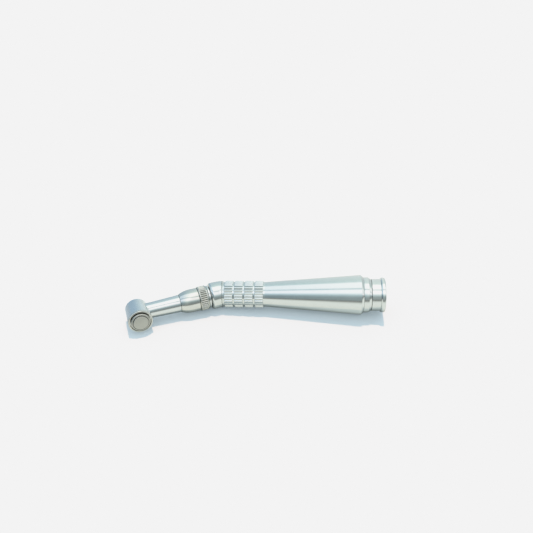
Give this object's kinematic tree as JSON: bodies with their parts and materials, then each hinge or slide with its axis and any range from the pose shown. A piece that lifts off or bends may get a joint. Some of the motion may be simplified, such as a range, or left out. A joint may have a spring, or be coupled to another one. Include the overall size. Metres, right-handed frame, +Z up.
{
  "type": "contra angle handpiece",
  "caption": "Dental contra angle handpiece: a tapered steel handle with fluted grip bands, a knurled lock ring, a bent slim neck and a small barrel head with a push button.",
  "frame": {"origin": "middle of the object's box, at its base, on the table it lies on", "axes": "+X along the handle towards the rear coupling, +Z up from the table, the neck bends to -Y"},
  "size_m": [0.1026, 0.0304, 0.016],
  "materials": {
    "satin_steel": "satin, finely turned",
    "polished_steel": "bright polished",
    "bearing_steel": "ground and lapped",
    "warm_nickel": "warm nickel, knurled",
    "matt_steel": "matt, fine blasted",
    "dark_steel": "hardened, oiled",
    "bronze": "satin",
    "rubber": "matt"
  },
  "bodies": {
    "handle": {"sheath_body": "satin_steel", "rear_coupling": "satin_steel", "latch_ring": "dark_steel", "coupling_o_ring": "rubber", "shaft_housing": "satin_steel", "housing_retainer": "dark_steel", "preload_spring": "dark_steel", "spacer_tube": "satin_steel", "rear_bearing_outer_race": "bearing_steel", "front_bearing_outer_race": "bearing_steel", "threaded_nose": "polished_steel", "neck_sleeve": "polished_steel", "spigot_o_ring": "rubber", "index_pin": "dark_steel", "neck_tube": "polished_steel", "neck_retainer": "dark_steel", "neck_bearing_outer_race": "bearing_steel", "pinion_bush": "bronze", "head_housing": "polished_steel", "head_cap": "warm_nickel", "upper_bearing_outer_race": "bearing_steel", "lower_bearing_outer_race": "bearing_steel", "nose_ring": "dark_steel", "spring_seat": "dark_steel", "button_spring": "dark_steel"},
    "drive_shaft": {"drive_shaft": "satin_steel", "drive_gear": "dark_steel", "drive_dog": "satin_steel", "dog_pin": "dark_steel", "rear_bearing_inner_race": "bearing_steel", "front_bearing_inner_race": "bearing_steel"},
    "neck_shaft": {"neck_shaft": "satin_steel", "neck_gear": "dark_steel", "neck_bearing_inner_race": "bearing_steel", "head_pinion": "dark_steel"},
    "spindle": {"spindle": "satin_steel", "spindle_gear": "dark_steel", "upper_bearing_inner_race": "bearing_steel", "lower_bearing_inner_race": "bearing_steel", "chuck_collet": "satin_steel", "chuck_spring": "dark_steel"},
    "push_button": {"push_button": "matt_steel", "button_plunger": "dark_steel"},
    "lock_ring": {"lock_ring": "warm_nickel"},
    "front_bearing_cage": {"front_bearing_cage": "bronze"},
    "rear_bearing_cage": {"rear_bearing_cage": "bronze"},
    "neck_bearing_cage": {"neck_bearing_cage": "bronze"},
    "upper_bearing_cage": {"upper_bearing_cage": "bronze"},
    "lower_bearing_cage": {"lower_bearing_cage": "bronze"}
  },
  "joints": [
    {"name": "drive_shaft_spin", "type": "hinge", "parent": "handle", "child": "drive_shaft", "pos_m": [0.00472, 0.0072, 0.00633], "axis": [0.999, 0.0013, 0.0446], "continuous": true},
    {"name": "neck_shaft_spin", "type": "hinge", "parent": "handle", "child": "neck_shaft", "pos_m": [-0.02973, 0.00035, 0.00519], "axis": [-0.9045, -0.4262, -0.0159], "continuous": true},
    {"name": "spindle_spin", "type": "hinge", "parent": "handle", "child": "spindle", "pos_m": [-0.04565, -0.00715, 0.00491], "axis": [0.4242, -0.9028, 0.0709], "continuous": true},
    {"name": "front_bearing_cage_spin", "type": "hinge", "parent": "handle", "child": "front_bearing_cage", "pos_m": [-0.00677, 0.00718, 0.00582], "axis": [0.999, 0.0013, 0.0446], "continuous": true},
    {"name": "rear_bearing_cage_spin", "type": "hinge", "parent": "handle", "child": "rear_bearing_cage", "pos_m": [0.0202, 0.00722, 0.00702], "axis": [0.999, 0.0013, 0.0446], "continuous": true},
    {"name": "neck_bearing_cage_spin", "type": "hinge", "parent": "handle", "child": "neck_bearing_cage", "pos_m": [-0.02241, 0.00381, 0.00532], "axis": [-0.9045, -0.4262, -0.0159], "continuous": true},
    {"name": "upper_bearing_cage_spin", "type": "hinge", "parent": "handle", "child": "upper_bearing_cage", "pos_m": [-0.04411, -0.01042, 0.00516], "axis": [0.4242, -0.9028, 0.0709], "continuous": true},
    {"name": "lower_bearing_cage_spin", "type": "hinge", "parent": "handle", "child": "lower_bearing_cage", "pos_m": [-0.04707, -0.00412, 0.00467], "axis": [0.4242, -0.9028, 0.0709], "continuous": true},
    {"name": "button_press", "type": "slide", "parent": "handle", "child": "push_button", "axis": [-0.4242, 0.9028, -0.0709], "range_m": [0, 0.0006], "stiffness_N_per_m": 3000, "springref_m": -0.001, "deforming": ["button_spring"]},
    {"name": "lock_ring_turn", "type": "hinge", "parent": "handle", "child": "lock_ring", "pos_m": [-0.02195, 0.00402, 0.00532], "axis": [-0.9045, -0.4262, -0.0159], "range_deg": [0, 90]}
  ],
  "couplings": [
    {"joint": "neck_shaft_spin", "follows": "drive_shaft_spin", "ratio": -1},
    {"joint": "spindle_spin", "follows": "drive_shaft_spin", "ratio": -1},
    {"joint": "front_bearing_cage_spin", "follows": "drive_shaft_spin", "ratio": 0.36934},
    {"joint": "rear_bearing_cage_spin", "follows": "drive_shaft_spin", "ratio": 0.36934},
    {"joint": "neck_bearing_cage_spin", "follows": "drive_shaft_spin", "ratio": -0.375},
    {"joint": "upper_bearing_cage_spin", "follows": "drive_shaft_spin", "ratio": -0.42579},
    {"joint": "lower_bearing_cage_spin", "follows": "drive_shaft_spin", "ratio": -0.42288}
  ]
}
